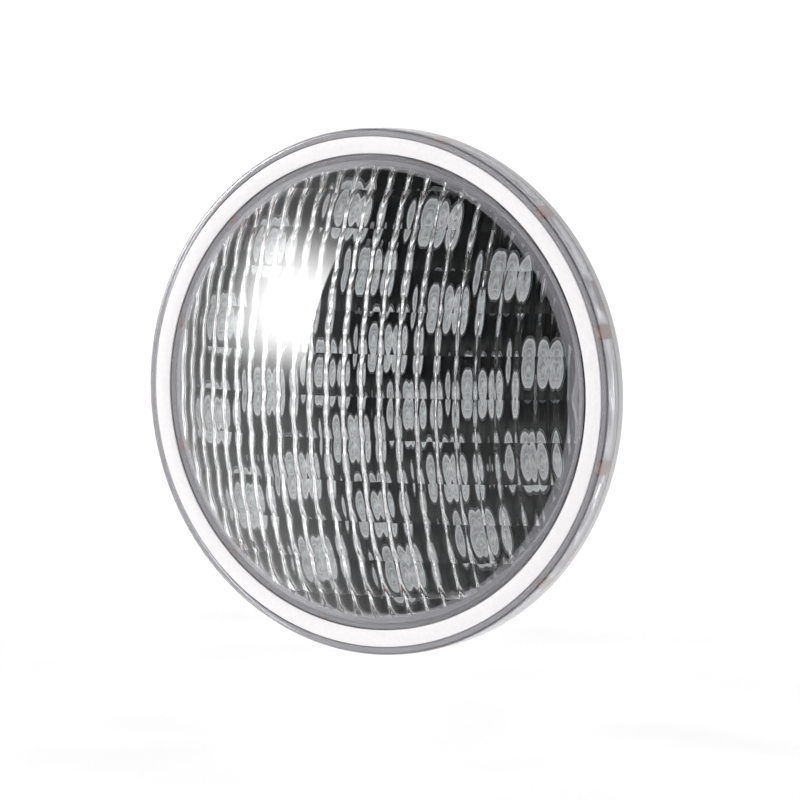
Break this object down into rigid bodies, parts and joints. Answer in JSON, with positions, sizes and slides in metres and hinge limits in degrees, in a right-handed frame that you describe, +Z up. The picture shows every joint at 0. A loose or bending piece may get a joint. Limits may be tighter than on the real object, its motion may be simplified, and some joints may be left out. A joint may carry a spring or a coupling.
{
  "type": "underwater pool light",
  "caption": "Round sealed pool lamp: clear ribbed domed cover with white trim ring over LED optics on a black board, bowl-shaped white housing and rear screw terminals.",
  "frame": {"origin": "centre of the rim's rear seating face, on the lamp's axis", "axes": "+Y along the lamp's axis from the front cover to the rear terminals, +Z up, +X towards terminal a"},
  "size_m": [0.1778, 0.1143, 0.1778],
  "materials": {
    "clear_cover": "polished clear polycarbonate, flutes moulded on the inner face",
    "white_plastic": "semi-gloss white moulding",
    "seal_rubber": "matt black silicone",
    "brass": "turned, slightly dull",
    "steel": "satin stainless steel",
    "aluminium": "machined",
    "black_board": "black solder mask",
    "green_board": "green solder mask",
    "optic": "clear acrylic with a frosted face",
    "thermal_pad": "matt silicone",
    "nylon": "natural nylon",
    "lead_red": "silicone insulation",
    "lead_black": "silicone insulation"
  },
  "bodies": {
    "lamp_body": {"front_cover": "clear_cover", "trim_ring": "white_plastic", "cover_gasket": "seal_rubber", "rear_housing": "white_plastic", "led_board": "black_board", "thermal_pad": "thermal_pad", "heat_sink": "aluminium", "sink_screw_1": "steel", "sink_screw_2": "steel", "sink_screw_3": "steel", "driver_board": "green_board", "rf_receiver": "green_board", "driver_standoff_1": "nylon", "driver_standoff_2": "nylon", "driver_standoff_3": "nylon", "supply_lead_a": "lead_red", "supply_lead_b": "lead_black", "led_harness": "lead_black", "led_optic_01": "optic", "led_optic_02": "optic", "led_optic_03": "optic", "led_optic_04": "optic", "led_optic_05": "optic", "led_optic_06": "optic", "led_optic_07": "optic", "led_optic_08": "optic", "led_optic_09": "optic", "led_optic_10": "optic", "led_optic_11": "optic", "led_optic_12": "optic", "led_optic_13": "optic", "led_optic_14": "optic", "led_optic_15": "optic", "led_optic_16": "optic", "led_optic_17": "optic", "led_optic_18": "optic", "led_optic_19": "optic", "led_optic_20": "optic", "led_optic_21": "optic", "led_optic_22": "optic", "led_optic_23": "optic", "led_optic_24": "optic", "rim_screw_01": "brass", "rim_screw_02": "brass", "rim_screw_03": "brass", "rim_screw_04": "brass", "rim_screw_05": "brass", "rim_screw_06": "brass", "rim_screw_07": "brass", "rim_screw_08": "brass", "rim_screw_09": "brass", "rim_screw_10": "brass", "rim_screw_11": "brass", "rim_screw_12": "brass", "terminal_post_a": "brass", "terminal_post_b": "brass"},
    "terminal_a_washer": {"terminal_washer_a": "steel"},
    "terminal_a_screw": {"terminal_screw_a": "steel"},
    "terminal_b_washer": {"terminal_washer_b": "steel"},
    "terminal_b_screw": {"terminal_screw_b": "steel"}
  },
  "joints": [
    {"name": "terminal_a_travel", "type": "slide", "parent": "lamp_body", "child": "terminal_a_washer", "axis": [0, 1, 0], "range_m": [0, 0.0021]},
    {"name": "terminal_a_turn", "type": "hinge", "parent": "terminal_a_washer", "child": "terminal_a_screw", "pos_m": [0.015, 0.0762, 0], "axis": [0, 1, 0], "range_deg": [0, 1080]},
    {"name": "terminal_b_travel", "type": "slide", "parent": "lamp_body", "child": "terminal_b_washer", "axis": [0, 1, 0], "range_m": [0, 0.0021]},
    {"name": "terminal_b_turn", "type": "hinge", "parent": "terminal_b_washer", "child": "terminal_b_screw", "pos_m": [-0.015, 0.0762, 0], "axis": [0, 1, 0], "range_deg": [0, 1080]}
  ],
  "couplings": [
    {"joint": "terminal_a_turn", "follows": "terminal_a_travel", "rad_per_m": 8976},
    {"joint": "terminal_b_turn", "follows": "terminal_b_travel", "rad_per_m": 8976}
  ]
}
